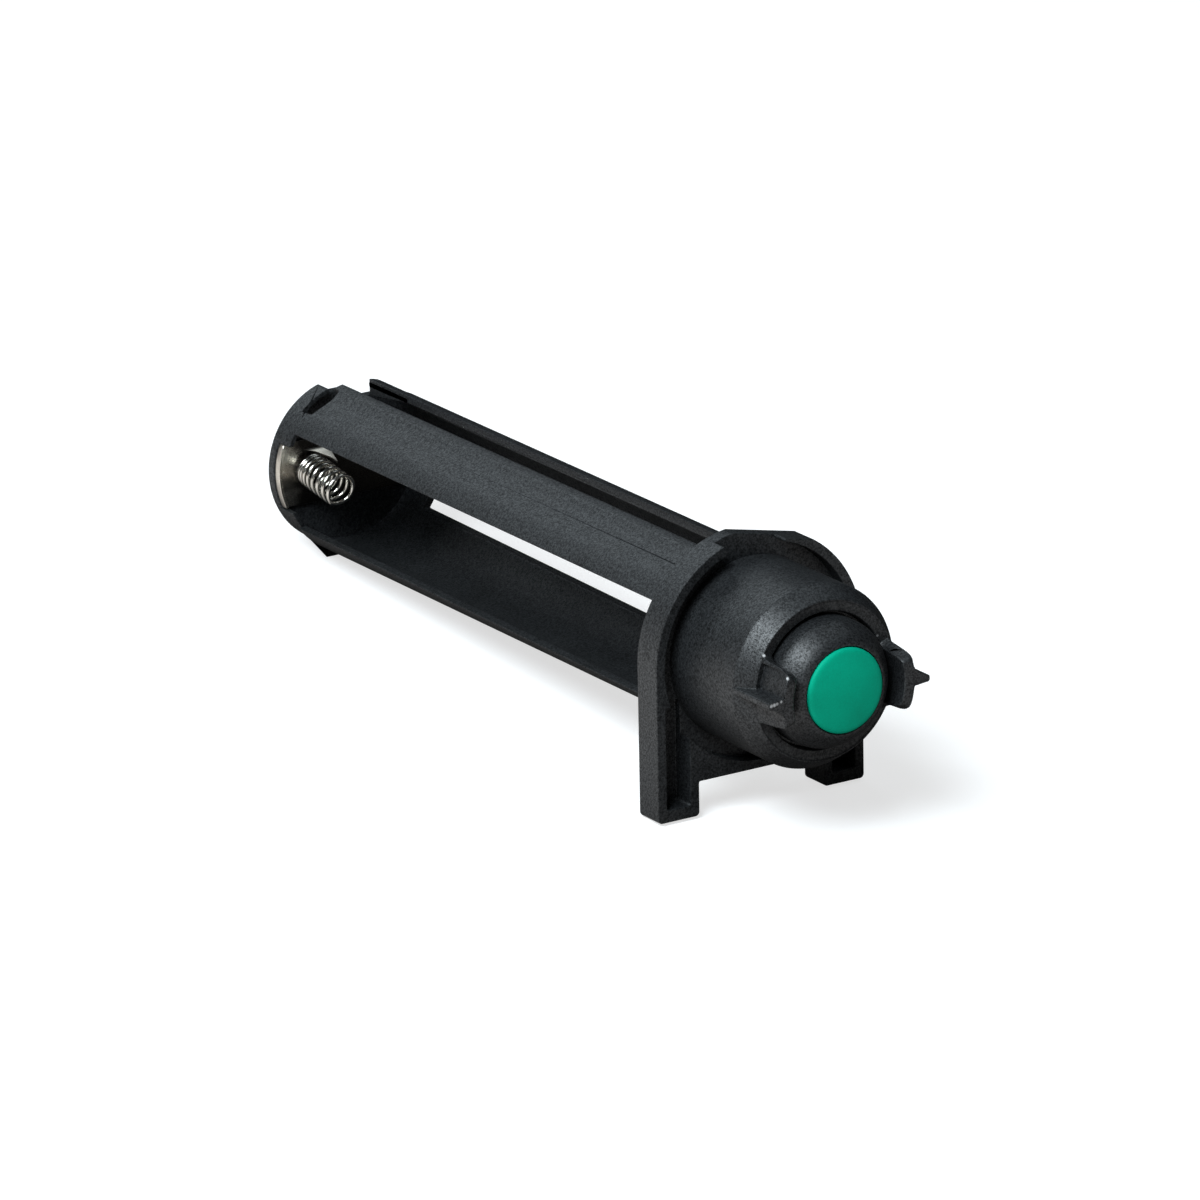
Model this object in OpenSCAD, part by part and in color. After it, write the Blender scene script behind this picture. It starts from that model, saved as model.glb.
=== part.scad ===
// Cylindrical cell holder: an open cage with a front flange on two legs,
// a quarter-turn end cap with grip ears and a push button, and sprung contacts.
// Front faces -Y, the tube runs back along +Y, +Z is up. Millimetres.

/* [Cell bay] */
// bore that takes the cells
bay_d = 17.8; // [16.8:0.1:19]
// wall of the tube
tube_wall = 0.93; // [0.8:0.01:1.6]
// length of the holder behind the front plane of the flange
tube_len = 83.5; // [60:0.5:120]
// depth of the closed ring at the rear end
end_ring = 3.5; // [3:0.1:6]
// amount the rear ring is smaller in radius than the tube
end_step = 0.38; // [0:0.01:0.6]
// thickness of the rear wall
rear_wall = 1.2; // [1:0.1:2.5]

/* [Windows] */
// height of the upper edge of the side windows above the axis
window_top = 5.15; // [3:0.05:6]
// depth of the lower edge below the axis at the front
window_low = 6.4; // [4:0.05:7]
// height of the right window's upper edge
window_top_right = 3.2; // [1:0.05:4]
// how far the right window stops short of the rear ring
right_end = 2.2; // [0.5:0.1:4]
// depth of the lower edge below the axis at the rear
window_low_rear = 5.8; // [4:0.05:7]
// width of the long slot on top
top_slot = 3.4; // [2:0.1:6]
// angle from the vertical at which the shallow channel starts
channel_in = 17; // [13:1:22]
// angle from the vertical at which the shallow channel ends
channel_out = 42; // [30:1:48]
// depth of the shallow channel
channel_depth = 0.21; // [0.1:0.01:0.3]
// length of the slot at the rear end of each channel
slot_len = 2.4; // [1:0.1:4]

/* [Flange] */
// radius of the arch and half width of the flange
flange_r = 12.9; // [12.2:0.1:16]
// depth of the flange
flange_depth = 3.7; // [3.2:0.1:6]
// distance from the axis to the underside of the legs
leg_drop = 16.55; // [15:0.05:22]
// width of each leg
leg_w = 5.1; // [4:0.1:6]
// thickness of the rim and of the pocket walls
rim = 1.1; // [0.8:0.05:1.6]
// depth of the round recess in the front
recess = 1.9; // [1.2:0.1:2.2]
// depth of the pockets in the legs
leg_pocket = 2.7; // [1.5:0.1:2.9]
// where the gap in the front rim starts, degrees from the right
gap_from = 74; // [60:1:85]
// where the gap in the front rim ends
gap_to = 109; // [95:1:120]
// direction of the flat on top of the flange, degrees from the right
flat_turn = 78; // [70:1:90]
// how far that flat cuts into the flange
flat_cut = 0.78; // [0.3:0.02:1]
// corner radius of the legs
leg_corner = 0.5; // [0.2:0.05:1]

/* [Cap] */
// radius of the cap
cap_r = 10; // [9.6:0.05:10.8]
// distance from the flange front to the sharp front edge of the cap
cap_front = 9.9; // [8:0.1:14]
// length of the slope that leads in to the collar
collar_rise = 2.2; // [1:0.1:3]
// amount the slope closes in
collar_in = 1.3; // [0.6:0.05:1.6]
// width of the moat between the cap edge and the raised middle
moat_w = 3; // [2.6:0.05:3.4]
// distance the raised middle stands in front of the sharp edge
dome_rise = 5.8; // [4:0.1:8]
// how far the grip ears stand in front of the cap wall
ear_rise = 6.8; // [4:0.1:8]
// thickness of the ears at their front edge
ear_t = 1.35; // [0.9:0.05:1.5]
// lower end of the right ear, degrees from the right
ear_from = -29; // [-36:1:-20]
// upper end of the right ear
ear_to = 20; // [10:1:28]
// depth of the hollow beside the fin on each ear
ear_hollow = 0.5; // [0.2:0.05:0.6]
// turn of the cap between locked and free
cap_turn = 36; // [20:1:40]
// radial play between the cap spigot and the flange bore
spigot_gap = 0.05; // [0.03:0.01:0.1]
// end play of the bayonet lugs behind the flange
lug_gap = 0.05; // [0.03:0.01:0.1]
// thickness of the bayonet lugs
lug_t = 1; // [0.8:0.1:1.5]

/* [Button] */
// width of the rounded land round the push button
land_w = 2.4; // [1.9:0.05:3]
// travel of the push button
button_travel = 1.2; // [0.6:0.1:1.6]
// height of the crown of the button
button_crown = 0.35; // [0.1:0.05:0.8]
// thickness of the face of the button
button_skin = 1.5; // [1:0.1:2.2]
// thickness of the skirt of the button
button_wall = 1.2; // [0.8:0.1:1.6]
// depth of the guide bore round the button
guide_len = 2.8; // [2:0.1:3.6]
// radial play round the button
button_gap = 0.08; // [0.04:0.01:0.1]

/* [Contacts] */
// thickness of the rear contact strip
strip_t = 0.4; // [0.3:0.05:0.8]
// height of the rear contact strip
strip_h = 7.8; // [5:0.1:9]
// sideways place of the rear spring from the axis
spring_off = 5; // [3:0.1:5.6]
// mean radius of the rear spring
spring_r = 1.77; // [1.2:0.01:2.2]
// wire of the rear spring
spring_wire = 0.42; // [0.3:0.01:0.5]
// free length of the rear spring
spring_len = 6.6; // [5:0.1:9]
// angle by which the free end of the rear spring sags
spring_sag = 8; // [0:1:12]
// free length of the front spring
front_len = 9; // [6:0.1:12]
// mean radius of the front spring
front_r = 2.4; // [1.6:0.1:3]
// wire of the front spring
front_wire = 0.5; // [0.3:0.05:0.7]
// play between the button spring and the skirt of the button
push_play = 0.9; // [0.2:0.1:1.2]
// wire of the button spring
push_wire = 0.4; // [0.2:0.05:0.5]

/* [Hidden] */
bay_r = bay_d / 2;
tube_r = bay_r + tube_wall;
ring_r = tube_r - end_step;
ring_y = tube_len - end_ring;
// level stretch of the window edge next to the flange
window_land = 4;
wall_y = tube_len - rear_wall;
strip_y = wall_y - strip_t;
strip_top = strip_h / 2 - 0.4;
strip_low = -strip_h / 2;
strip_play = 0.1;
// how far the strip's ends are bent forward
strip_lip = 0.5;
tab_z = 2.4;
// length of the lug bent out of the strip
tab_len = 2.3;
strip_r = tube_r - 0.55;
// length of the rear ring that stands clear for a socket
ring_land = end_ring - 0.9;
rim_in = flange_r - rim;
notch_top = rim_in + 1.05;
leg_in = flange_r - leg_w;
spigot_r = bay_r - spigot_gap;
seat_depth = 0.1;
spigot_end = flange_depth - seat_depth + lug_gap + lug_t;
lug_y = flange_depth - seat_depth + lug_gap;
lug_r = tube_r - 0.3;
lug_half = 8;
lug_mid = -15;
dome_r = cap_r - moat_w;
button_r = dome_r - land_w;
cap_in = spigot_r - 1.25;
cap_floor = 3;
cap_seat = recess - 0.05;
collar_y = -cap_front - collar_rise;
collar_r = cap_r - collar_in;
// narrow groove between the land of the collar and the raised middle
moat_r = dome_r + 0.45;
moat_y = collar_y + 1.3;
land_y = collar_y + 0.3;
ear_front = -cap_front - ear_rise;
ear_r = collar_r - 0.5;
fin_z = -0.4;
fin_at = -asin(0.4 / cap_r);
dome_y = -cap_front - dome_rise;
well_r = button_r + 1.1;
well_y = dome_y + guide_len;
floor_y = -cap_floor;
hole_r = button_r + button_gap;
button_y = dome_y - 0.25;
push_y = button_y + button_skin + 0.05;
push_r = button_r - button_wall - push_play - push_wire / 2;
catch_r = well_r - 0.25;
catch_y = well_y + 0.05;
seat_boss = well_r - 0.5;
catch_t = 0.7;
seat_front = catch_y + catch_t + button_travel + 0.4;
seat_t = 1.8;
disc_y = floor_y + seat_t;
disc_t = 0.4;
clip_y = disc_y + disc_t;
clip_t = 0.6;
clip_r = cap_in + 0.35;
clip_w = 1.5;
// opening on top of the rear ring, from the axis to the left and to the right
open_left = 2.8;
open_right = 5;
open_depth = 1.2;
// the origin lies on the axis, in the middle of the land of the rear ring
org = [0, ring_land / 2 - tube_len, 0];
// piece to draw, or all of them

// rod along the tube direction between two stations
module rod(r, y0, y1, fn = 96)
  translate([0, y0, 0])
    rotate([-90, 0, 0])
      cylinder(r = r, h = y1 - y0, $fn = fn);

// flat outline in the XZ plane, made solid between two stations
module plate_y(y0, y1)
  translate([0, y1, 0])
    rotate([90, 0, 0])
      linear_extrude(y1 - y0)
        children();

// pie piece between two angles, counted from +X towards +Z
module wedge(a0, a1, r, y0, y1)
  plate_y(y0, y1)
    polygon([[0, 0],
             [r * cos(a0), r * sin(a0)],
             [r * 1.3 * cos((2 * a0 + a1) / 3), r * 1.3 * sin((2 * a0 + a1) / 3)],
             [r * 1.3 * cos((a0 + 2 * a1) / 3), r * 1.3 * sin((a0 + 2 * a1) / 3)],
             [r * cos(a1), r * sin(a1)]]);

// box given by its two corners
module block(x0, x1, y0, y1, z0, z1)
  translate([x0, y0, z0])
    cube([x1 - x0, y1 - y0, z1 - z0]);

// foot of one leg with its two rounded lower corners
module leg_foot(s)
  plate_y(0, flange_depth)
    hull() {
      translate([s * (leg_in + leg_corner), -leg_drop + leg_corner])
        circle(r = leg_corner, $fn = 24);
      translate([s * (flange_r - leg_corner), -leg_drop + leg_corner])
        circle(r = leg_corner, $fn = 24);
      translate([s * (leg_in + leg_w / 2) - leg_w / 2, -notch_top])
        square([leg_w, 1]);
    }

// arch, legs and the plate between them
module flange_body() {
  rod(flange_r, 0, flange_depth, 144);
  block(-flange_r, flange_r, 0, flange_depth, -notch_top, 0);
  leg_foot(1);
  leg_foot(-1);
}

// hollow of one leg, open upwards into the round recess
module leg_hollow(s)
  block(min(s * (leg_in + rim), s * rim_in), max(s * (leg_in + rim), s * rim_in),
        -1, leg_pocket, -leg_drop + rim + 0.25, -4);

// ring sector between two radii, two angles and two stations
module sector(r0, r1, a0, a1, y0, y1)
  intersection() {
    difference() {
      rod(r1, y0, y1);
      rod(r0, y0 - 1, y1 + 1);
    }
    wedge(a0, a1, r1 + 2, y0, y1);
  }

// shallow channel of one upper stave, with the slot at its rear end
module stave_channel(s) {
  a0 = 90 + (s > 0 ? -channel_out : channel_in);
  a1 = 90 + (s > 0 ? -channel_in : channel_out);
  sector(tube_r - channel_depth, tube_r + 1, a0, a1, flange_depth, ring_y);
  sector(bay_r - 1, tube_r + 1, a0, a1, ring_y + 1.2 - slot_len, ring_y + 1.2);
}

// one side window, lower edge a little deeper at the front
module window(top, low_rear, rear, side)
  translate([side > 0 ? 0 : -flange_r, 0, 0])
    rotate([90, 0, 90])
      linear_extrude(flange_r)
        polygon([[flange_depth, top], [rear, top], [rear, -low_rear],
                 [flange_depth + window_land, -window_low], [flange_depth, -window_low]]);

// both windows, and the openings in the rear ring that the strip's ends sit in
module windows() {
  window(window_top, window_low_rear, ring_y + 0.01, -1);
  window(window_top_right, window_low_rear, ring_y - right_end, 1);
  block(-flange_r, 0, ring_y, wall_y, strip_low - strip_play, strip_top + strip_play);
  block(0, flange_r, strip_y - strip_lip - strip_play, wall_y,
        strip_low - strip_play, strip_top + strip_play);
}

// entry notches of the bayonet
module entry_notches()
  for (k = [0, 180])
    sector(bay_r - 0.5, lug_r + 0.15, k + lug_mid + cap_turn - lug_half - 1,
           k + lug_mid + cap_turn + lug_half + 1, recess - 1, flange_depth + 1);

// seats behind the flange that the bayonet lugs turn on
module lug_seats()
  for (k = [0, 180])
    sector(bay_r - 0.5, lug_r + 0.15, k + lug_mid - lug_half - 2,
           k + lug_mid + cap_turn + lug_half + 2, flange_depth - seat_depth, flange_depth + 1);

module cage()
  translate(org) color([0.09, 0.09, 0.1])
    difference() {
      union() {
        flange_body();
        rod(tube_r, flange_depth - 0.5, ring_y + 1.2);
        rod(ring_r, ring_y, tube_len);
      }
      rod(rim_in, -1, recess, 120);
      leg_hollow(1);
      leg_hollow(-1);
      rod(bay_r, recess - 1, strip_y);
      rod(bay_r - 0.6, strip_y - 1, wall_y);
      windows();
      block(-top_slot / 2, top_slot / 2, flange_depth, ring_y, 0, tube_r + 2);
      block(-open_left, open_right, ring_y, tube_len + 1, ring_r - open_depth, ring_r + 2);
      stave_channel(1);
      stave_channel(-1);
      entry_notches();
      lug_seats();
      sector(rim_in - 0.05, flange_r + 1, gap_from, gap_to, -1, recess);
      rotate([0, -flat_turn, 0])
        block(flange_r - flat_cut, flange_r + 2, -1, flange_depth + 1, -flange_r, flange_r);
    }

// contact strip across the rear wall, ends bent forward a little, with a lug
module rear_strip()
  translate(org) color([0.78, 0.75, 0.68]) {
    intersection() {
      union() {
        block(-tube_r, tube_r, strip_y, wall_y, strip_low, strip_top);
        for (s = [-1, 1])
          intersection() {
            difference() {
              rod(strip_r, strip_y - strip_lip, wall_y);
              rod(strip_r - strip_t, strip_y - 1, wall_y + 1);
            }
            block(s > 0 ? strip_r / 2 : -tube_r, s > 0 ? tube_r : -strip_r / 2,
                  strip_y - strip_lip, wall_y, strip_low, strip_top);
          }
      }
      rod(strip_r, strip_y - 1, wall_y);
    }
    translate([-spring_off, strip_y + 0.1, tab_z])
      rotate([225, 0, 0])
        linear_extrude(strip_t)
          polygon(tab_len * [[-0.43, 0], [0.74, 0], [1.04, 0.39], [1.13, 1],
                             [0.83, 0.65], [0.17, 0.2]]);
  }

// ribbed sleeve that stands for a coil of wire between two stations
module coil_sleeve(r, wire, len, turns)
  rotate([-90, 0, 0])
    rotate_extrude($fn = 32)
      polygon(concat(
        [for (i = [0 : 2 * turns]) [r + (i % 2 == 0 ? wire / 2 : wire / 4), i * len / (2 * turns)]],
        [for (i = [2 * turns : -1 : 0]) [r - (i % 2 == 0 ? wire / 2 : wire / 4), i * len / (2 * turns)]]));

module cell_spring()
  translate(org) color([0.8, 0.77, 0.7])
    translate([-spring_off, strip_y - (spring_r + spring_wire) * sin(spring_sag), -0.05])
      rotate([spring_sag, 0, 0])
        translate([0, -spring_len, 0])
          coil_sleeve(spring_r, spring_wire, spring_len, 8);

// ring that the grip ears are cut from: it carries the slope of the collar on
module ear_ring(front)
  rotate([-90, 0, 0])
    rotate_extrude($fn = 120)
      polygon([[collar_r, collar_y + 0.1], [ear_r, front], [ear_r - ear_t, front],
               [moat_r, land_y + 0.1]]);

// one grip ear with a fin that runs on from the cap wall, and a hollow beside the fin
module ear() {
  difference() {
    union() {
      intersection() {
        ear_ring(ear_front + 1.2);
        wedge(ear_from, ear_to, cap_r + 1, ear_front - 1, collar_y + 1);
      }
      intersection() {
        ear_ring(ear_front);
        wedge(ear_from + 4, ear_to - 4, cap_r + 1, ear_front - 1, collar_y + 1);
      }
    }
    sector(collar_r - ear_hollow - 0.1, cap_r + 1, ear_from + 5, fin_at - 2,
           ear_front + 0.6, collar_y - 0.2);
  }
  intersection() {
    rod(cap_r - 0.05, ear_front + 0.1, -cap_front + 0.5);
    rotate([90, 0, 0])
      translate([0, 0, cap_front - 0.4])
        linear_extrude(ear_rise + 0.2)
          polygon([[ear_r - 0.3, fin_z + 1.3], [cap_r + 0.3, fin_z], [ear_r - 0.3, fin_z - 0.6]]);
  }
}

// turned form of the cap
module cap_turned()
  rotate([-90, 0, 0])
    rotate_extrude($fn = 120)
      polygon([[cap_r, cap_seat], [cap_r, -cap_front], [collar_r + 0.05, collar_y + 0.1],
               [collar_r - 0.15, collar_y + 0.15], [moat_r, land_y],
               [moat_r - 0.1, moat_y], [dome_r, moat_y], [dome_r - land_w * 0.01, dome_y + 3],
               [dome_r - land_w * 0.15, dome_y + 1.8], [dome_r - land_w * 0.4, dome_y + 0.75],
               [dome_r - land_w * 0.73, dome_y + 0.1],
               [hole_r + 0.1, dome_y], [hole_r, dome_y + 0.1], [hole_r, well_y],
               [well_r, well_y], [well_r, floor_y], [cap_in, floor_y], [cap_in, spigot_end],
               [spigot_r, spigot_end], [spigot_r, cap_seat]]);

module cap()
  translate(org) color([0.1, 0.1, 0.11]) {
    difference() {
      cap_turned();
      rod(clip_r, clip_y, clip_y + clip_t + 0.05);
    }
    ear();
    rotate([0, 180, 0])
      ear();
    for (k = [0, 180])
      sector(spigot_r - 0.4, lug_r, k + lug_mid - lug_half, k + lug_mid + lug_half,
             lug_y, lug_y + lug_t);
  }

module button()
  translate(org) color([0.02, 0.55, 0.42])
    rotate([-90, 0, 0])
      rotate_extrude($fn = 96)
        polygon([[0, button_y - button_crown], [button_r * 0.45, button_y - button_crown * 0.8],
                 [button_r * 0.8, button_y - button_crown * 0.35], [button_r - 0.15, button_y],
                 [button_r, button_y + 0.2], [button_r, catch_y], [catch_r, catch_y],
                 [catch_r, catch_y + catch_t], [button_r - button_wall, catch_y + catch_t],
                 [button_r - button_wall, button_y + button_skin],
                 [0, button_y + button_skin]]);

module button_spring()
  translate(org) color([0.75, 0.75, 0.75])
    translate([0, push_y, 0])
      coil_sleeve(push_r, push_wire, seat_front - 0.05 - push_y, 6);

module spring_seat()
  translate(org) color([0.16, 0.16, 0.17])
    difference() {
      union() {
        rod(cap_in - 0.06, floor_y + 0.05, disc_y);
        rod(seat_boss, seat_front, disc_y);
        rod(push_r - push_wire / 2 - 0.4, seat_front - 1.2, disc_y, 48);
      }
      rod(0.8, seat_front - 2, disc_y + 1, 32);
    }

module front_disc()
  translate(org) color([0.78, 0.75, 0.68])
    rod(cap_in - 0.1, disc_y + 0.02, disc_y + disc_t - 0.02);

module front_spring()
  translate(org) color([0.8, 0.77, 0.7])
    translate([0, disc_y + disc_t + 0.03, 0])
      coil_sleeve(front_r, front_wire, front_len, 7);

// spring clip in a groove of the cap, open at the top
module clip_ring()
  translate(org) color([0.55, 0.55, 0.56])
    difference() {
      rod(clip_r - 0.06, clip_y + 0.03, clip_y + clip_t);
      rod(clip_r - clip_w, clip_y - 1, clip_y + clip_t + 1);
      block(-clip_w, clip_w, clip_y - 1, clip_y + clip_t + 1, 0, clip_r + 1);
    }

cage();
rear_strip();
cell_spring();
cap();
button();
button_spring();
spring_seat();
front_disc();
front_spring();
clip_ring();
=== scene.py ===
"""Cylindrical cell holder: dressed model, finishes, light and camera.

Shapes are drawn in millimetres from the front plane of the flange, with Y running back along
the tube, and are put into the frame in metres by place().
"""

import math

import bmesh
import bpy
from mathutils import Matrix, Vector
from mathutils.geometry import tessellate_polygon


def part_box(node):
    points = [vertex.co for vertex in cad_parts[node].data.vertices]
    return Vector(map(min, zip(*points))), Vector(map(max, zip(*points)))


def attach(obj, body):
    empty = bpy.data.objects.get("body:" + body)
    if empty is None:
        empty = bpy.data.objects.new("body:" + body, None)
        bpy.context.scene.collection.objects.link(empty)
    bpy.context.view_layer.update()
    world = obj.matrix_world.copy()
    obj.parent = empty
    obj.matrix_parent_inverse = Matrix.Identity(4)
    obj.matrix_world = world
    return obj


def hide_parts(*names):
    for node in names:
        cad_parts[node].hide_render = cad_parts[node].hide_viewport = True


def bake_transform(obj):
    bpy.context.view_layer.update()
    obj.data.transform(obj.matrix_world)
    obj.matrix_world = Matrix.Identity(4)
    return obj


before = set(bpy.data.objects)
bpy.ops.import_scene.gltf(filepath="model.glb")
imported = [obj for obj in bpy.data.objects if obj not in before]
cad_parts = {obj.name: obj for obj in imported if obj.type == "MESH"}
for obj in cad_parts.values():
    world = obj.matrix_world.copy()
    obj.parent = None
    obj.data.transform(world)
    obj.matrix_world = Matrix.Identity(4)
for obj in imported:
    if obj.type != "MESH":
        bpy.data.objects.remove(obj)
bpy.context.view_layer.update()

MM = 0.001
cage_low, cage_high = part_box("cage")
FRONT = cage_low.y                                   # front plane of the flange in the frame
TUBE_END = (cage_high.y - FRONT) / MM                # rear face of the holder
FLANGE_R = cage_high.x / MM                          # arch radius and half width
FEET = cage_low.z / MM                               # underside of the legs

# moulding
BAY_R = 8.9
TUBE_R = 9.83
RING_R = 9.45
RING_Y = TUBE_END - 3.5
WALL_Y = TUBE_END - 1.2
STRIP_T = 0.4
STRIP_Y = WALL_Y - STRIP_T
CHANNEL = 0.21
CHANNEL_DEPTH = CHANNEL * 2.2                        # where the channel is deepest
CHANNEL_FROM, CHANNEL_TO = 17, 42                    # angles of its edges from the top
CHANNEL_LOW = 0.35                                   # share of its width where it is deepest
SLOT_HALF = 1.7                                      # half width of the slot on top
OPEN_LEFT, OPEN_RIGHT = -2.8, 5                      # the rear wall is cut down between these
OPEN_LOW, OPEN_LOW_FROM = 7.0, 0.2                   # its lower part on the right
WINDOW_TOP = 5.15
WINDOW_TOP_RIGHT = 3.2
WINDOW_LOW = 6.4
WINDOW_LOW_REAR = 5.8
STRIP_TOP = 3.5
STRIP_LOW = -3.9
FLANGE_T = 3.7
LAND_END = FLANGE_T + 4                              # full tube wall behind the flange up to here
RIM = 1.1
RIM_IN = FLANGE_R - RIM
RECESS = 1.9
POCKET = 2.7
GAP_FROM, GAP_TO = 74, 109                           # gap in the raised front rim
FLAT_TURN = 78                                       # flat on top of the flange
FLAT_CUT = 0.78
LEG_W = 5.1
LEG_CORNER = 0.5
NOTCH_TOP = -(RIM_IN + 1.05)
SOFT = 0.13                                          # usual edge rounding of the mouldings

# cap
HOLE_R = 4.68
BUTTON_R = 4.6
EAR_R = 8.7                                          # outside of the ears at the collar
EAR_IN = 7.38                                        # inside of the ears at the collar
EAR_FOOT = -11.6
COLLAR_Y = -12.0                                     # the ears rise from here
EAR_RISE = 4.7
EAR_LEAN = 0.5                                       # how far an ear leans inwards at its front
LUG_R, LUG_IN = 9.53, 8.5
LUG_FROM, LUG_TO = -23, -7                           # angles of a bayonet lug from its ear
LUG_FRONT, LUG_BACK = 3.65, 4.6
CATCH_R = 5.45                                       # flange that keeps the button in the cap
CATCH_T = 0.7
BUTTON_BORE = 3.4
BUTTON_SKIN = 1.85


# ---------------------------------------------------------------- outlines

def arc(radius, start, end, step=3.0):
    """Points of an arc in the XZ plane, angles in degrees from +X towards +Z."""
    count = max(2, math.ceil(abs(end - start) / step))
    angles = [math.radians(start + (end - start) * i / count) for i in range(count + 1)]
    return [(radius * math.cos(a), radius * math.sin(a)) for a in angles]


def rounded(corners, steps=5):
    """Outline with an arc at each corner that is given as (x, z, radius)."""
    points = []
    for i, corner in enumerate(corners):
        here = Vector(corner[:2])
        radius = corner[2] if len(corner) > 2 else 0
        if not radius:
            points.append(tuple(here))
            continue
        before = Vector(corners[i - 1][:2]) - here
        after = Vector(corners[(i + 1) % len(corners)][:2]) - here
        half = before.angle(after) / 2
        run = min(radius / math.tan(half), before.length * 0.49, after.length * 0.49)
        bend = run * math.tan(half)
        centre = here + (before.normalized() + after.normalized()).normalized() * (bend / math.sin(half))
        first = here + before.normalized() * run - centre
        turn = first.angle_signed(here + after.normalized() * run - centre)
        for k in range(steps + 1):
            spoke = Vector(first)
            spoke.rotate(Matrix.Rotation(-turn * k / steps, 2))
            points.append(tuple(centre + spoke))
    return points


def mirrored(points):
    """The outline on the other side of the YZ plane, in the same turning sense."""
    return [(-x, z) for x, z in reversed(points)]


# ---------------------------------------------------------------- solids

def closed(bm, distance=1e-5):
    """Merges doubles and turns the faces outwards."""
    bmesh.ops.remove_doubles(bm, verts=bm.verts, dist=distance)
    bmesh.ops.dissolve_degenerate(bm, edges=bm.edges, dist=distance)
    bmesh.ops.recalc_face_normals(bm, faces=bm.faces)
    return bm


def plate(loops, y0, y1):
    """Flat plate between two stations: the first loop is its edge, the others are holes."""
    bm = bmesh.new()
    rings = [[bm.verts.new((x, y, z)) for x, z in loop] for y in (y0, y1) for loop in loops]
    for near, far in zip(rings, rings[len(loops):]):
        for i in range(len(near)):
            bm.faces.new((near[i - 1], near[i], far[i], far[i - 1]))
    flat = [[Vector((x, z, 0)) for x, z in loop] for loop in loops]
    for side in (rings[:len(loops)], rings[len(loops):]):
        verts = [v for ring in side for v in ring]
        for corners in tessellate_polygon(flat):
            if len(set(corners)) == 3:
                bm.faces.new([verts[c] for c in corners])
    return closed(bm)


def turned(profile, steps=128):
    """Closed solid of revolution round the tube axis from (radius, y) points."""
    bm = bmesh.new()
    spokes = []
    for k in range(steps):
        a = 2 * math.pi * k / steps
        spokes.append([bm.verts.new((r * math.cos(a), y, r * math.sin(a))) for r, y in profile])
    for k in range(steps):
        for i in range(len(profile)):
            bm.faces.new((spokes[k - 1][i - 1], spokes[k - 1][i], spokes[k][i], spokes[k][i - 1]))
    return closed(bm)


def finished(bm, edge=0.0, segments=2, sharp=40):
    """Mesh of a solid with its edges rounded and its flats kept flat."""
    mesh = bpy.data.meshes.new("part")
    bm.to_mesh(mesh)
    bm.free()
    thing = bpy.data.objects.new("part", mesh)
    bpy.context.scene.collection.objects.link(thing)
    if edge:
        bevel = thing.modifiers.new("edges", "BEVEL")
        bevel.width = edge
        bevel.segments = segments
        bevel.limit_method = "ANGLE"
        bevel.angle_limit = math.radians(30)
        bevel.use_clamp_overlap = False
        bevel.miter_outer = "MITER_ARC"
    for face in mesh.polygons:
        face.use_smooth = True
    made = bpy.data.meshes.new_from_object(thing.evaluated_get(bpy.context.evaluated_depsgraph_get()))
    bpy.data.objects.remove(thing)
    shade(made, sharp)
    return made


class Carved:
    """A solid that others are added to and cut from before its edges are rounded."""

    def __init__(self, bm):
        self.thing = self.held(bm)
        self.others = []

    def held(self, bm):
        mesh = bpy.data.meshes.new("solid")
        closed(bm).to_mesh(mesh)
        bm.free()
        thing = bpy.data.objects.new("solid", mesh)
        bpy.context.scene.collection.objects.link(thing)
        return thing

    def change(self, bm, operation):
        other = self.held(bm)
        self.others.append(other)
        step = self.thing.modifiers.new(operation.lower(), "BOOLEAN")
        step.operation = operation
        step.solver = "EXACT"
        step.object = other

    def add(self, bm):
        self.change(bm, "UNION")

    def take(self, bm):
        self.change(bm, "DIFFERENCE")

    def result(self):
        """The carved solid as a bmesh, without doubles and needless edges."""
        graph = bpy.context.evaluated_depsgraph_get()
        made = bpy.data.meshes.new_from_object(self.thing.evaluated_get(graph))
        for thing in [self.thing] + self.others:
            bpy.data.objects.remove(thing)
        bm = bmesh.new()
        bm.from_mesh(made)
        bpy.data.meshes.remove(made)
        closed(bm, 1e-3)
        bmesh.ops.dissolve_limit(bm, angle_limit=math.radians(0.5), verts=bm.verts, edges=bm.edges)
        return bm


def shade(mesh, sharp):
    """Smooth shading with creases where faces meet at more than the given angle."""
    for face in mesh.polygons:
        face.use_smooth = True
    mesh.set_sharp_from_angle(angle=math.radians(sharp))


def place(name, meshes, body, nodes, slot, finish, weighted=True):
    """Joins meshes into one piece of the scene, in metres in the frame, and hands it over."""
    bm = bmesh.new()
    for mesh in meshes:
        bm.from_mesh(mesh)
        bpy.data.meshes.remove(mesh)
    bm.transform(Matrix.Translation((0, FRONT, 0)) @ Matrix.Scale(MM, 4))
    mesh = bpy.data.meshes.new(name)
    bm.to_mesh(mesh)
    bm.free()
    mesh.materials.clear()
    mesh.materials.append(finish)
    piece = bpy.data.objects.new(name, mesh)
    bpy.context.scene.collection.objects.link(piece)
    if weighted:
        flats = piece.modifiers.new("flats", "WEIGHTED_NORMAL")
        flats.keep_sharp = True
        flats.weight = 80
        settled = bpy.data.meshes.new_from_object(
            piece.evaluated_get(bpy.context.evaluated_depsgraph_get()))
        piece.modifiers.clear()
        piece.data = settled
        bpy.data.meshes.remove(mesh)
    if isinstance(body, str):
        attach(piece, body)
    else:
        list(body)
        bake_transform(piece)
    if nodes:
        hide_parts(*nodes)
    return piece


# ---------------------------------------------------------------- node trees

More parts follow.
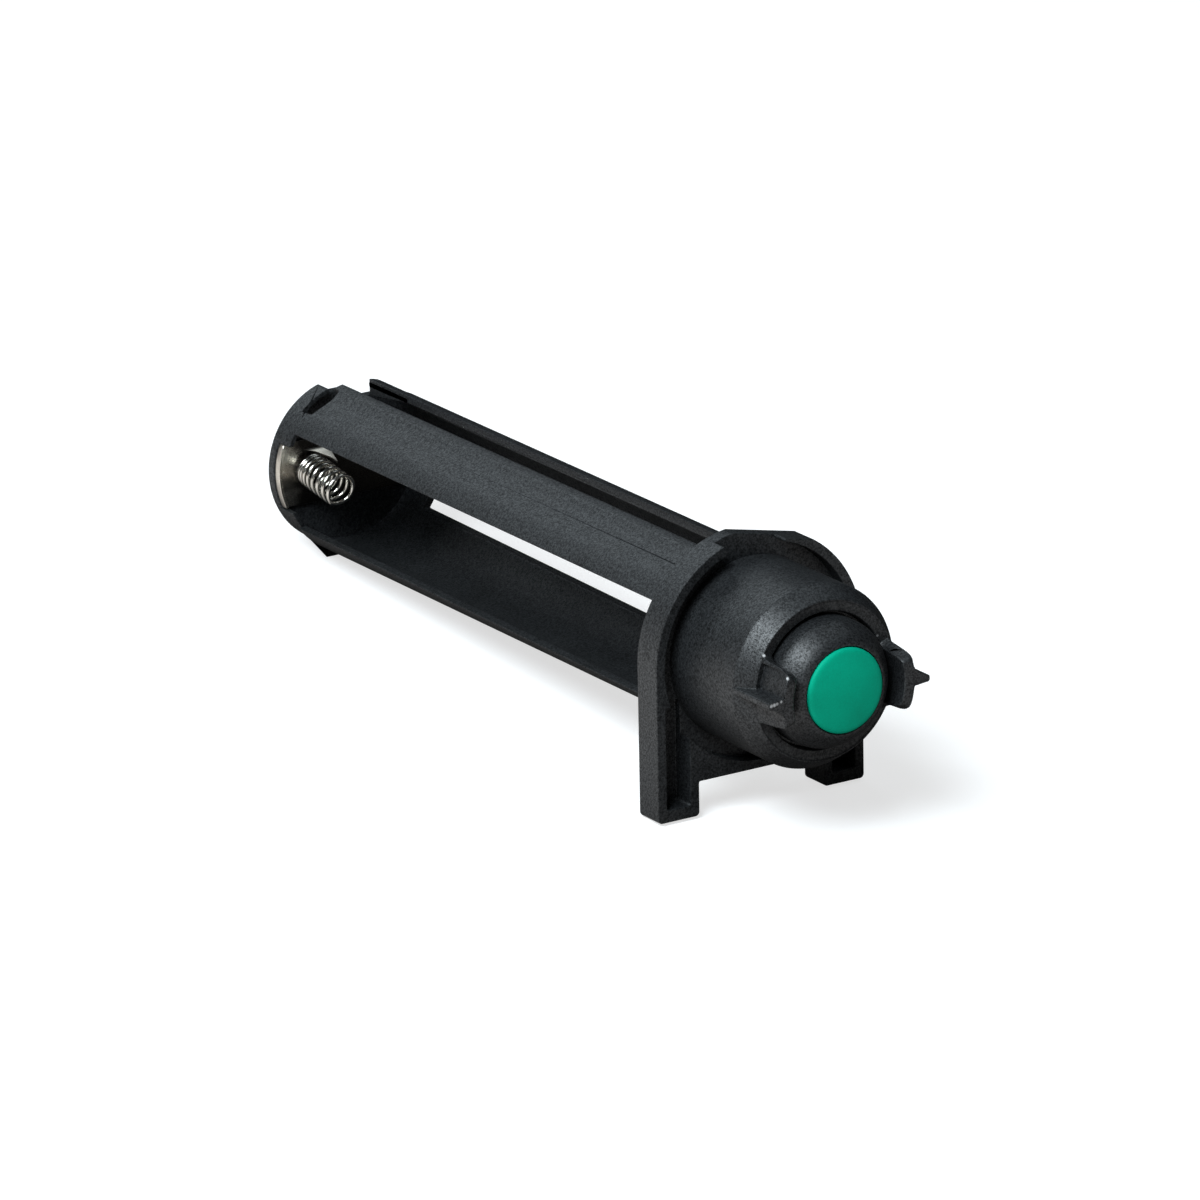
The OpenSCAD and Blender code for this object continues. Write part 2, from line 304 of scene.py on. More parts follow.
class Link:
    """An output socket of a node tree that can be used in sums."""

    def __init__(self, tree, socket):
        self.tree = tree
        self.socket = socket

    def _math(self, operation, first, second):
        return self.tree.add("ShaderNodeMath", {"operation": operation}, {0: first, 1: second})

    def __add__(self, other):
        return self._math("ADD", self, other)

    def __radd__(self, other):
        return self._math("ADD", other, self)

    def __sub__(self, other):
        return self._math("SUBTRACT", self, other)

    def __rsub__(self, other):
        return self._math("SUBTRACT", other, self)

    def __mul__(self, other):
        return self._math("MULTIPLY", self, other)

    def __rmul__(self, other):
        return self._math("MULTIPLY", other, self)

    def __pow__(self, other):
        return self._math("POWER", self, other)


class Tree:
    """A node tree with one way to add a node."""

    def __init__(self, tree):
        self.tree = tree
        tree.nodes.clear()

    def add(self, kind, settings=None, inputs=None, output=0):
        """Adds a node, sets it, feeds its sockets and returns one of its outputs."""
        node = self.tree.nodes.new(kind)
        for key, value in (settings or {}).items():
            setattr(node, key, value)
        for key, value in (inputs or {}).items():
            if isinstance(value, Link):
                self.tree.links.new(value.socket, node.inputs[key])
            else:
                node.inputs[key].default_value = value
        return Link(self, node.outputs[output]) if len(node.outputs) else None


class Finish(Tree):
    """A material whose nodes start from the object's own coordinates."""

    def __init__(self, name):
        self.material = bpy.data.materials.new(name)
        self.material.use_nodes = True
        super().__init__(self.material.node_tree)
        self.place = self.add("ShaderNodeTexCoord", output="Object")

    def noise(self, size, detail=2.0, roughness=0.5, stretch=None):
        """Noise between 0 and 1 whose features measure about size in millimetres."""
        at = self.place
        if stretch:
            at = self.add("ShaderNodeMapping", {}, {"Vector": at, "Scale": stretch})
        return self.add("ShaderNodeTexNoise", {}, {
            "Vector": at, "Scale": 1 / (size * MM), "Detail": detail, "Roughness": roughness})

    def span(self, value, low, high, to_low=0.0, to_high=1.0):
        """Value stretched from one range to another, and held at its ends."""
        return self.add("ShaderNodeMapRange", {}, {
            "Value": value, "From Min": low, "From Max": high, "To Min": to_low, "To Max": to_high})

    def mix(self, factor, first, second):
        """Colour between two colours."""
        return self.add("ShaderNodeMix", {"data_type": "RGBA"}, {0: factor, 6: first, 7: second}, 2)

    def bump(self, height, depth):
        """Normal from a height between 0 and 1, with its depth in millimetres."""
        return self.add("ShaderNodeBump", {}, {"Height": height, "Distance": depth * MM})

    def surface(self, **sockets):
        """Ends the tree in one Principled surface and returns the material."""
        names = {key.replace("_", " "): value for key, value in sockets.items()}
        shader = self.add("ShaderNodeBsdfPrincipled", {}, names)
        self.add("ShaderNodeOutputMaterial", {}, {"Surface": shader})
        return self.material


def grey(level, tint=(1.0, 1.0, 1.0)):
    """Opaque colour of one level with a slight tint."""
    return (level * tint[0], level * tint[1], level * tint[2], 1.0)


# ---------------------------------------------------------------- finishes

def moulded_plastic(name, level, rough, grain_depth, painted_glints=()):
    """Dark thermoplastic with a spark-eroded texture, faint flow clouds and pale spots that paint glints
    of light on burrs and edges.
    """
    finish = Finish(name)
    grain = finish.noise(0.34, 3, 0.7)
    speck = finish.noise(0.19, 2, 0.6)
    cloud = finish.noise(8, 3, 0.6)
    tone = finish.span(grain * 0.4 + speck * 0.45 + cloud * 0.15, 0.38, 0.62)
    colour = finish.mix(tone, grey(level * 0.2, (0.9, 1.0, 1.12)), grey(level * 1.8, (0.9, 1.0, 1.1)))
    # each spot is a painted glint: pale colour where light catches a burr or an edge
    for spot, radius, pale in painted_glints:
        away = finish.add("ShaderNodeVectorMath", {"operation": "DISTANCE"}, {
            0: finish.place, 1: tuple(spot)}, 1)
        colour = finish.mix(finish.span(away * 1000, radius, radius * 0.5), colour, grey(pale))
    gloss = finish.span(cloud * 0.4 + speck * 0.6, 0.32, 0.68, rough - 0.1, rough + 0.12)
    return finish.surface(
        Base_Color=colour, Roughness=gloss, Specular_IOR_Level=0.24, Coat_Roughness=0.45,
        Coat_Weight=finish.span(grain * 0.35 + speck * 0.65, 0.41, 0.6, 0.0, 0.85),
        Normal=finish.bump(grain * 0.55 + speck * 0.45, grain_depth))


def on_cap(radius, angle, y):
    """Place in the frame of a point on the cap, in metres."""
    a = math.radians(angle)
    return Vector((radius * math.cos(a), FRONT / MM + y, radius * math.sin(a))) * MM


def button_plastic():
    """Green satin moulding with a faint grain."""
    finish = Finish("green_button")
    grain = finish.noise(0.14, 2, 0.6)
    cloud = finish.noise(5, 2, 0.5)
    tone = finish.span(grain * 0.4 + cloud * 0.6, 0.3, 0.7)
    colour = finish.mix(tone, (0.0, 0.24, 0.143, 1), (0.0, 0.355, 0.215, 1))
    return finish.surface(
        Base_Color=colour, Roughness=finish.span(cloud, 0.3, 0.7, 0.5, 0.6), Specular_IOR_Level=0.06,
        Normal=finish.bump(grain, 0.015))


def plated(name, stretch, tint, rough, depth, painted_shade=False):
    """Nickel plate: drawing marks along the stretch, slight stains, and painted shade that darkens the
    plate inside the tube apart from its left end.
    """
    finish = Finish(name)
    lines = finish.noise(0.25, 4, 0.7, stretch)
    stain = finish.noise(1.6, 3, 0.6)
    colour = finish.mix(finish.span(stain, 0.35, 0.7), grey(0.78, tint), grey(0.55, tint))
    if painted_shade:
        place = finish.add("ShaderNodeSeparateXYZ", {}, {"Vector": finish.place}, 0)
        side, back = place * 1000, Link(finish, place.socket.node.outputs[1]) * 1000 - FRONT / MM
        # painted shade: the plate inside the tube goes dark, except towards its left end
        shade_mask = finish.span(side + stain * 3, -7.6, -4.6) * finish.span(back, STRIP_Y - 0.35, STRIP_Y - 0.2)
        colour = finish.mix(shade_mask, colour, grey(0.045, tint))
    gloss = finish.span(lines * 0.6 + stain * 0.4, 0.3, 0.7, rough - 0.07, rough + 0.1)
    return finish.surface(
        Base_Color=colour, Metallic=1.0, Roughness=gloss, Normal=finish.bump(lines, depth))


BLACK = moulded_plastic("black_moulding", 0.009, 0.52, 0.09)
# pale spots: painted glints at the ears' corners and along a fin's front edge, and a faint painted light
# patch low on an ear
CAP_BLACK = moulded_plastic("cap_moulding", 0.009, 0.5, 0.09, [
    (on_cap(8.68, 150.3, -12.1), 0.24, 0.36), (on_cap(8.2, 158.2, -16.55), 0.28, 0.4),
    (on_cap(9.7, 177.4, -16.6), 0.24, 0.3), (on_cap(9.35, 177.0, -16.6), 0.24, 0.34),
    (on_cap(9.0, 176.5, -16.6), 0.2, 0.26), (on_cap(8.5, 175.4, -16.6), 0.18, 0.3),
    (on_cap(8.2, 199.5, -16.3), 0.5, 0.08), (on_cap(7.6, 28.0, -12.0), 0.26, 0.3)])
SEAT_GREY = moulded_plastic("seat_moulding", 0.03, 0.5, 0.02)
GREEN = button_plastic()
STRIP = plated("nickel_strip", (1, 14, 14), (1.0, 0.93, 0.82), 0.27, 0.003)
# the rear strip has shade painted on it inside the tube
REAR_STRIP = plated("rear_nickel", (1, 14, 14), (1.0, 0.93, 0.82), 0.27, 0.003, painted_shade=True)
WIRE = plated("spring_wire", (1, 1, 1), (1.0, 0.96, 0.88), 0.2, 0.002)
STEEL = plated("steel_wire", (1, 1, 1), (0.97, 0.98, 1.0), 0.3, 0.002)


# ---------------------------------------------------------------- cage

def flange_outline():
    """Arch with the flat on top, legs and notch of the flange."""
    inner = FLANGE_R - LEG_W
    half = math.degrees(math.acos(1 - FLAT_CUT / FLANGE_R))
    right = rounded([
        (FLANGE_R, 0), (FLANGE_R, FEET, LEG_CORNER), (inner, FEET, LEG_CORNER), (inner, NOTCH_TOP, 0.25)])
    return (arc(FLANGE_R, FLAT_TURN - half, 0, 2)[:-1] + right + mirrored(right)
            + arc(FLANGE_R, 180, FLAT_TURN + half, 2)[1:])


def pocket_outline():
    """Pocket in the right leg, open at the top into the recess."""
    wall = FLANGE_R - LEG_W + RIM
    floor = FEET + RIM + 0.25
    return rounded([(RIM_IN, -4), (RIM_IN, floor, 0.3), (wall, floor, 0.3), (wall, -4)])


def flange(cage):
    """Adds the flange steps: plate, recess, pockets, gap in the rim and bore."""
    cage.take(plate([arc(RIM_IN, 0, 360, 2)[:-1]], -1, RECESS))
    for outline in (pocket_outline(), mirrored(pocket_outline())):
        cage.take(plate([outline], -1, POCKET))
    gap = arc(RIM_IN - 0.4, GAP_FROM, GAP_TO, 2) + arc(FLANGE_R + 1, GAP_TO, GAP_FROM, 2)
    cage.take(plate([gap], -1, RECESS))
    cage.take(plate([arc(BAY_R + 0.5, 0, 360)[:-1]], -1, FLANGE_T + 1))


def tube_breaks():
    """Angles at which the tube wall changes, as functions of the station and the radius."""

    def level(z, z_rear=None):
        z_rear = z if z_rear is None else z_rear

        def at(y, radius):
            share = min(max((y - LAND_END) / (RING_Y - LAND_END), 0), 1)
            return math.degrees(math.asin((z + (z_rear - z) * share) / radius))
        return at

    def upright(x):
        return lambda y, radius: math.degrees(math.acos(x / radius))

    def spoke(angle):
        return lambda y, radius: angle

    def across(rule):
        return lambda y, radius: 180 - rule(y, radius)

    slot = upright(SLOT_HALF)
    low, high = 90 - CHANNEL_TO, 90 - CHANNEL_FROM
    right = [level(STRIP_LOW - 0.1), level(WINDOW_TOP_RIGHT), level(STRIP_TOP + 0.1), spoke(low),
             upright(OPEN_RIGHT), spoke(high), slot]
    left = [across(rule) for rule in (slot, spoke(high), spoke(low), level(WINDOW_TOP),
                                      level(STRIP_TOP + 0.1), level(STRIP_LOW - 0.1))]
    trough = level(-WINDOW_LOW, -WINDOW_LOW_REAR)
    far = lambda y, radius: 180 - trough(y, radius)
    near = lambda y, radius: 360 + trough(y, radius)
    return right + left + [far, near]


def channel_depth(turn):
    """Depth of a channel at an angle from the top: it drops off the slot side and rises slowly."""
    share = (turn - CHANNEL_FROM) / (CHANNEL_TO - CHANNEL_FROM)
    if share < CHANNEL_LOW:
        return CHANNEL_DEPTH * math.sin(math.pi / 2 * max(share, 0) / CHANNEL_LOW)
    return CHANNEL_DEPTH * math.cos(math.pi / 2 * min((share - CHANNEL_LOW) / (1 - CHANNEL_LOW), 1))


def tube():
    """Tube with its trough, two staves and rear ring as one wall of cells."""
    rules = tube_breaks()
    stations = [2.4, FLANGE_T, LAND_END, RING_Y - 2.2, RING_Y - 1.2, RING_Y, RING_Y + 1.2,
                WALL_Y, TUBE_END]
    # cells of a row run from the right window up over the top slot, down the left side to the trough
    full, chan, ring, gap = TUBE_R, TUBE_R - CHANNEL, RING_R, None
    land = [full] * 15
    stave = [gap, full, full, chan, chan, full, gap, full, chan, full, gap, gap, gap, full, gap]
    joint = [full, full, full, chan, chan, full, gap, full, chan, full, gap, gap, gap, full, full]
    slots = [full, full, full, gap, gap, full, gap, full, gap, full, gap, gap, gap, full, full]
    ring_a = [ring, ring, ring, gap, gap, gap, gap, gap, gap, ring, ring, gap, ring, ring, ring]
    ring_b = [gap, gap, ring, ring, gap, gap, gap, gap, ring, ring, ring, gap, ring, ring, ring]
    wall_row = [ring, ring, ring, ring, gap, gap, gap, gap, ring, ring, ring, ring, ring, ring, ring]
    rows = [land, stave, stave, joint, slots, ring_a, ring_b, wall_row]
    bm = bmesh.new()
    verts = {}

    columns = []
    for i in range(len(rules)):
        first, last = rules[i], rules[(i + 1) % len(rules)]
        extra = 360 if i == len(rules) - 1 else 0
        wide = abs(last(RING_Y, TUBE_R) + extra - first(RING_Y, TUBE_R))
        count = max(1, math.ceil(wide / 3))
        for k in range(count):
            columns.append((i, first, last, extra, k / count))
    total = len(columns)

    def vert(column, row, radius):
        key = (column % total, row, radius)
        if key not in verts:
            _, first, last, extra, share = columns[column % total]
            y = stations[row]
            start, end = first(y, radius), last(y, radius) + extra
            angle = start + (end - start) * share
            if radius == chan:
                radius = TUBE_R - channel_depth(abs(90 - angle))
            a = math.radians(angle)
            verts[key] = bm.verts.new((radius * math.cos(a), y, radius * math.sin(a)))
        return verts[key]

    def wall(a, b, c, d):
        bm.faces.new((a, b, c, d))

    for row, cells in enumerate(rows):
        for column in range(total):
            outer = cells[columns[column][0]]
            if outer is None:
                continue
            for radius in (outer, BAY_R):
                wall(vert(column, row, radius), vert(column + 1, row, radius),
                     vert(column + 1, row + 1, radius), vert(column, row + 1, radius))
    # walls between cells of different kinds
    for row in range(len(rows)):
        for column in range(total):
            here = rows[row][columns[column][0]]
            before = rows[row][columns[column - 1][0]]
            if here != before:
                step(bm, vert, column, column, row, row + 1, here, before)
    for row in range(len(rows) + 1):
        for column in range(total):
            sector = columns[column][0]
            here = rows[row][sector] if row < len(rows) else None
            before = rows[row - 1][sector] if row else None
            if here != before:
                step(bm, vert, column, column + 1, row, row, here, before)
    return closed(bm)


def step(bm, vert, c0, c1, r0, r1, here, before):
    """Wall between two neighbouring cells: down to the bay where one is empty."""
    high = max(v for v in (here, before) if v is not None)
    low = BAY_R if here is None or before is None else min(here, before)
    bm.faces.new((vert(c0, r0, high), vert(c1, r1, high), vert(c1, r1, low), vert(c0, r0, low)))


def rear_wall():
    """Disc that closes the tube, flat where the ring is cut away on top."""
    reach = RING_R - 0.2
    left = math.degrees(math.acos(OPEN_LEFT / reach))
    right = math.degrees(math.acos(OPEN_RIGHT / reach))
    low = RING_R - 1.2
    outline = arc(reach, left, 360 + right) + [
        (OPEN_RIGHT, OPEN_LOW), (OPEN_LOW_FROM, OPEN_LOW), (OPEN_LOW_FROM, low), (OPEN_LEFT, low)]
    return plate([outline], WALL_Y, TUBE_END)


def gusset():
    """Web under the slot edge of the right stave, highest at its free rear end."""
    bm = plate([[(0, 9.3), (0, 7.75), (8, 8.8), (8, 9.3)]], 1.7, 2.5)
    for vert in bm.verts:
        back, side, up = vert.co
        vert.co = (side, RING_Y - back, up)
    return closed(bm)


def make_cage():
    """One moulding: flange with legs, trough, staves, ring and rear wall."""
    cage = Carved(plate([flange_outline()], 0, FLANGE_T))
    flange(cage)
    cage.add(tube())
    cage.add(rear_wall())
    cage.add(gusset())
    return place("cage_moulding", [finished(cage.result(), SOFT)], "cage", ["cage"], "black_plastic",
                 BLACK)


# ---------------------------------------------------------------- contacts

def coil_tree():
    """Geometry Nodes tree that winds a compression spring with closed ends along -Y."""
    tree = bpy.data.node_groups.new("coil_spring", "GeometryNodeTree")
    tree.interface.new_socket("Geometry", in_out="OUTPUT", socket_type="NodeSocketGeometry")
    for name, kind, value in (
            ("Mean Radius", "NodeSocketFloat", 1.77), ("Wire Radius", "NodeSocketFloat", 0.21),
            ("Length", "NodeSocketFloat", 6.6), ("Turns", "NodeSocketFloat", 8.0),
            ("End Share", "NodeSocketFloat", 0.12), ("Opening", "NodeSocketFloat", 1.0),
            ("Points", "NodeSocketInt", 400),
            ("Base", "NodeSocketVector", (0, 0, 0)), ("Tilt", "NodeSocketVector", (0, 0, 0)),
            ("Finish", "NodeSocketMaterial", None)):
        socket = tree.interface.new_socket(name, in_out="INPUT", socket_type=kind)
        if value is not None:
            socket.default_value = value
    nodes = Tree(tree)
    given = nodes.tree.nodes.new("NodeGroupInput")

    def sized(name):
        return Link(nodes, given.outputs[name])

    line = nodes.add("GeometryNodeCurvePrimitiveLine")
    line = nodes.add("GeometryNodeResampleCurve", {}, {"Curve": line, "Count": sized("Points")})
    along = nodes.add("GeometryNodeSplineParameter")
    angle = along * sized("Turns") * (2 * math.pi)
    # the pitch eases in and out, so that the end turns close up, and may grow towards the free end
    along = along ** sized("Opening")
    ease = nodes.add("ShaderNodeMapRange", {"interpolation_type": "SMOOTHSTEP"}, {
        "Value": along, "From Min": 0.0, "From Max": 1.0, "To Min": 0.0, "To Max": 1.0})
    rise = (along * (1 - sized("End Share") * 4) + ease * (sized("End Share") * 4)) * sized("Length")
    across = nodes.add("ShaderNodeMath", {"operation": "COSINE"}, {0: angle}) * sized("Mean Radius")
    up = nodes.add("ShaderNodeMath", {"operation": "SINE"}, {0: angle}) * sized("Mean Radius")
    spot = nodes.add("ShaderNodeCombineXYZ", {}, {"X": across, "Y": rise * -1.0, "Z": up})
    helix = nodes.add("GeometryNodeSetPosition", {}, {"Geometry": line, "Position": spot})
    section = nodes.add("GeometryNodeCurvePrimitiveCircle", {}, {
        "Resolution": 10, "Radius": sized("Wire Radius")})
    wire = nodes.add("GeometryNodeCurveToMesh", {}, {
        "Curve": helix, "Profile Curve": section, "Fill Caps": True})
    wire = nodes.add("GeometryNodeSetShadeSmooth", {}, {"Geometry": wire})
    wire = nodes.add("GeometryNodeTransform", {}, {
        "Geometry": wire, "Translation": sized("Base"), "Rotation": sized("Tilt")})
    real = nodes.add("GeometryNodeRealizeInstances", {}, {"Geometry": wire})
    real = nodes.add("GeometryNodeSetMaterial", {}, {"Geometry": real, "Material": sized("Finish")})
    nodes.add("NodeGroupOutput", {}, {"Geometry": real})
    return tree


COIL = coil_tree()


def spring(name, node, body, slot, finish, **sizes):
    """A spring wound by the coil tree, in place of a CAD sleeve."""
    thing = bpy.data.objects.new(name, bpy.data.meshes.new(name))
    bpy.context.scene.collection.objects.link(thing)
    wound = thing.modifiers.new("coil", "NODES")
    wound.node_group = COIL
    sizes["Finish"] = finish
    for item in COIL.interface.items_tree:
        if item.in_out == "INPUT" and item.name.replace(" ", "_") in sizes:
            wound[item.identifier] = sizes[item.name.replace(" ", "_")]
    thing.update_tag()
    made = bpy.data.meshes.new_from_object(thing.evaluated_get(bpy.context.evaluated_depsgraph_get()))
    bpy.data.objects.remove(thing)
    shade(made, 60)
    return place(name, [made], body, [node], slot, finish, weighted=False)


def make_springs():
    """Rear, front and button springs."""
    spring("rear_coil", "cell_spring", "cage", "spring_wire", WIRE,
           Base=(-5, STRIP_Y - 0.45, -0.05), Tilt=(math.radians(8), 0, 0), Turns=7.6, Length=6.35,
           Wire_Radius=0.21, Mean_Radius=1.77, End_Share=0.03, Opening=1.5, Points=520)
    low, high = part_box("front_spring")
    spring("front_coil", "front_spring", "cap", "spring_wire", WIRE,
           Base=(0, (low.y - FRONT) / MM + 0.25, 0), Tilt=(0, 0, math.pi), Turns=6.5,
           Length=(high.y - low.y) / MM - 0.5, Wire_Radius=0.25, Mean_Radius=2.4, End_Share=0.1,
           Points=400)
    low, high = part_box("button_spring")
    closing = ("cap", "button", (0, high.y, 0), (0, low.y, 0))
    spring("button_coil", "button_spring", closing, "steel_wire", STEEL,
           Base=(0, (low.y - FRONT) / MM + 0.2, 0), Tilt=(0, 0, math.pi), Turns=5.5,
           Length=(high.y - low.y) / MM - 0.4, Wire_Radius=0.2,
           Mean_Radius=(high.x - low.x) / MM / 2 - 0.2, End_Share=0.1, Points=300)


def make_strip():
    """Rear contact strip with bent ends and a small raised tab."""
    reach = TUBE_R - 0.55
    half = math.degrees(math.asin(STRIP_LOW / reach))
    top = math.degrees(math.asin(STRIP_TOP / reach))
    outline = arc(reach, half, top) + arc(reach, 180 - top, 180 - half)
    parts = [finished(plate([outline], STRIP_Y, WALL_Y - 0.01), 0.05, 1)]
    for side in (1, -1):
        lip = arc(reach, half, top) + arc(reach - STRIP_T, top, half)
        if side < 0:
            lip = mirrored(lip)
        parts.append(finished(plate([lip], STRIP_Y - 0.5, STRIP_Y + 0.1), 0.05, 1))
    tab = plate([[(-6.0, 0), (-3.3, 0), (-2.6, -0.9), (-2.4, -2.3), (-3.1, -1.5), (-4.6, -0.45)]], 0, 0.3)
    tab.transform(Matrix.Translation((0, STRIP_Y - 0.1, 2.4)) @ Matrix.Rotation(math.radians(-45), 4, "X"))
    parts.append(finished(closed(tab), 0.03, 1))
    return place("contact_strip", parts, "cage", ["rear_strip"], "nickel_strip", REAR_STRIP)


# ---------------------------------------------------------------- cap

FRONT_PROFILE = [
    (10.0, -9.76), (9.97, -9.88), (9.88, -10.04), (8.82, -11.84), (8.74, -11.97), (8.64, -12.02),
    (8.54, -11.97), (8.44, -11.9), (7.5, -11.8), (7.42, -11.7), (7.37, -10.9), (7.28, -10.8),
    (7.05, -10.8), (7.0, -10.9)]
DOME_PROFILE = [
    (7.0, -12.4), (6.97, -12.9), (6.86, -13.35), (6.66, -13.75), (6.42, -14.15), (6.14, -14.6),
    (5.8, -15.03), (5.44, -15.36), (5.1, -15.58), (4.9, -15.67), (4.78, -15.69), (4.7, -15.64),
    (HOLE_R, -15.52)]
INSIDE_PROFILE = [
    (HOLE_R, -12.9), (5.7, -12.9), (5.7, -3.0), (7.6, -3.0), (7.6, -1.15), (7.95, -1.15), (7.95, -0.5),
    (7.6, -0.5), (7.6, 4.62), (8.82, 4.62), (8.82, 1.86), (9.9, 1.86), (10.0, 1.8)]

# front edge of a grip ear as (angle, y), from its upper end over the grip to its lower end
EAR_CREST = [
    (21.6, -11.94), (20.4, -12.1), (19.4, -12.4), (18.8, -12.9), (18.6, -13.7), (18.6, -15.1),
    (18.4, -15.7), (17.8, -16.15), (16.7, -16.45), (15.0, -16.6), (8.0, -16.66), (0.0, -16.62),
    (-8.0, -16.64), (-15.0, -16.66), (-20.0, -16.62), (-22.4, -16.46), (-24.2, -16.15),
    (-25.6, -15.6), (-26.4, -14.9), (-26.8, -13.9), (-27.0, -13.2), (-27.6, -12.7), (-28.8, -12.3),
    (-30.4, -12.05), (-31.6, -11.94)]


def ear(turn):
    """One grip ear that carries on the slope of the collar, with a rounded front edge."""
    bm = bmesh.new()
    spokes = []
    for angle, crest in EAR_CREST:
        a = math.radians(angle + turn)
        lean = EAR_LEAN * (COLLAR_Y - crest) / EAR_RISE
        outer, inner = EAR_R - lean, EAR_IN - lean
        half = (outer - inner) / 2
        section = [(EAR_R, EAR_FOOT), (outer, crest + 0.2), (outer - 0.05, crest + 0.08),
                   (outer - 0.16, crest), (outer - half, crest - 0.02), (inner + 0.16, crest),
                   (inner + 0.05, crest + 0.08), (inner, crest + 0.2), (EAR_IN, EAR_FOOT)]
        spokes.append([bm.verts.new((r * math.cos(a), y, r * math.sin(a))) for r, y in section])
    for near, far in zip(spokes, spokes[1:]):
        for i in range(len(near)):
            bm.faces.new((near[i - 1], near[i], far[i], far[i - 1]))
    bm.faces.new(spokes[0])
    bm.faces.new(spokes[-1])
    return closed(bm)


def ear_hollow(turn):
    """Sunk field on an ear, from beside the fin up to the ear's end."""
    low, high = turn - 24.5, turn - 4.3
    outline = arc(EAR_R + 1.5, low, high) + arc(8.12, high, low)
    return plate([outline], -16.25, -12.12)


def fin(turn):
    """Thin fin that carries the cap wall on to the front of an ear."""
    outline = [(7.6, 1.3), (8.05, 1.12), (8.3, 0.8), (8.65, 0.52), (9.1, 0.28), (9.5, 0.12),
               (9.82, 0.02), (9.95, -0.08), (9.99, -0.22), (9.99, -0.5), (9.93, -0.66), (9.8, -0.73),
               (8.2, -0.88), (7.6, -0.9)]
    bm = plate([outline], -16.6, -9.4)
    bm.transform(Matrix.Rotation(-math.radians(turn), 4, "Y"))
    return bm


def lug(turn):
    """Bayonet lug behind the flange."""
    low, high = turn + LUG_FROM, turn + LUG_TO
    outline = arc(LUG_R, low, high) + arc(LUG_IN, high, low)
    return plate([outline], LUG_FRONT, LUG_BACK)


def make_cap():
    """One moulding: turned body, two grip ears with fins, and bayonet lugs."""
    cap = Carved(turned(FRONT_PROFILE + DOME_PROFILE + INSIDE_PROFILE))
    for turn in (0, 180):
        cap.add(ear(turn))
        cap.take(ear_hollow(turn))
        cap.add(fin(turn))
        cap.add(lug(turn))
    return place("cap_moulding", [finished(cap.result(), 0.05)], "cap", ["cap"], "cap_plastic", CAP_BLACK)


def make_button():
    """Push button: crowned face, rounded rim, catch flange and hollow back."""
    low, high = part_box("button")
    back = (high.y - FRONT) / MM
    face = (low.y - FRONT) / MM
    crown = [(BUTTON_R * share, face + 0.3 * share ** 2.4) for share in
             (0.004, 0.12, 0.25, 0.4, 0.55, 0.68, 0.78, 0.86, 0.92)]
    rim = [(BUTTON_R - 0.2, face + 0.31), (BUTTON_R - 0.09, face + 0.39), (BUTTON_R - 0.02, face + 0.5),
           (BUTTON_R, face + 0.66)]
    skin = face + BUTTON_SKIN
    catch = [(BUTTON_R, back - CATCH_T), (CATCH_R, back - CATCH_T), (CATCH_R, back), (BUTTON_BORE, back),
             (BUTTON_BORE, skin), (0.004, skin)]
    return place("push_button", [finished(turned(crown + rim + catch), sharp=50)], "button", ["button"],
                 "green_plastic", GREEN)


# ---------------------------------------------------------------- stage, light and camera

def pale_floor():
    """Plain white floor through the feet and the rear of the tube, which keeps the soft shadow."""
    finish = Finish("pale_floor")
    along = finish.add("ShaderNodeSeparateXYZ", {}, {"Vector": finish.place}, 0)
    side, back = along * 1000, (Link(finish, along.socket.node.outputs[1]) - FRONT) * 1000
    seen = finish.add("ShaderNodeLightPath", output="Is Camera Ray")
    # the light that the floor gives back comes mostly from the left and from the front
    given = finish.span(side, -5.0, -25.0) + finish.span(back, -15.0, -40.0) * 0.7 + 0.03
    back_light = finish.add("ShaderNodeEmission", {}, {"Color": finish.mix(given, grey(0.0), grey(1.0))})
    # what the lamps add to the glow brings it to white outside the shadow
    white = finish.add("ShaderNodeBsdfPrincipled", {}, {
        "Base Color": grey(0.42), "Roughness": 1.0, "Specular IOR Level": 0.0,
        "Emission Color": grey(0.68), "Emission Strength": 1.0})
    both = finish.add("ShaderNodeMixShader", {}, {0: seen, 1: back_light, 2: white})
    finish.add("ShaderNodeOutputMaterial", {}, {"Surface": both})
    mesh = bpy.data.meshes.new("floor")
    slope = (-TUBE_R - FEET) / (RING_Y - FLANGE_T)
    size = 6000
    corners = [(-size, -size), (size, -size), (size, size), (-size, size)]
    mesh.from_pydata([(x * MM, FRONT + y * MM, (FEET - 0.02 + slope * (y - FLANGE_T)) * MM)
                      for x, y in corners], [], [(0, 1, 2, 3)])
    mesh.materials.append(finish.material)
    floor = bpy.data.objects.new("floor", mesh)
    bpy.context.scene.collection.objects.link(floor)


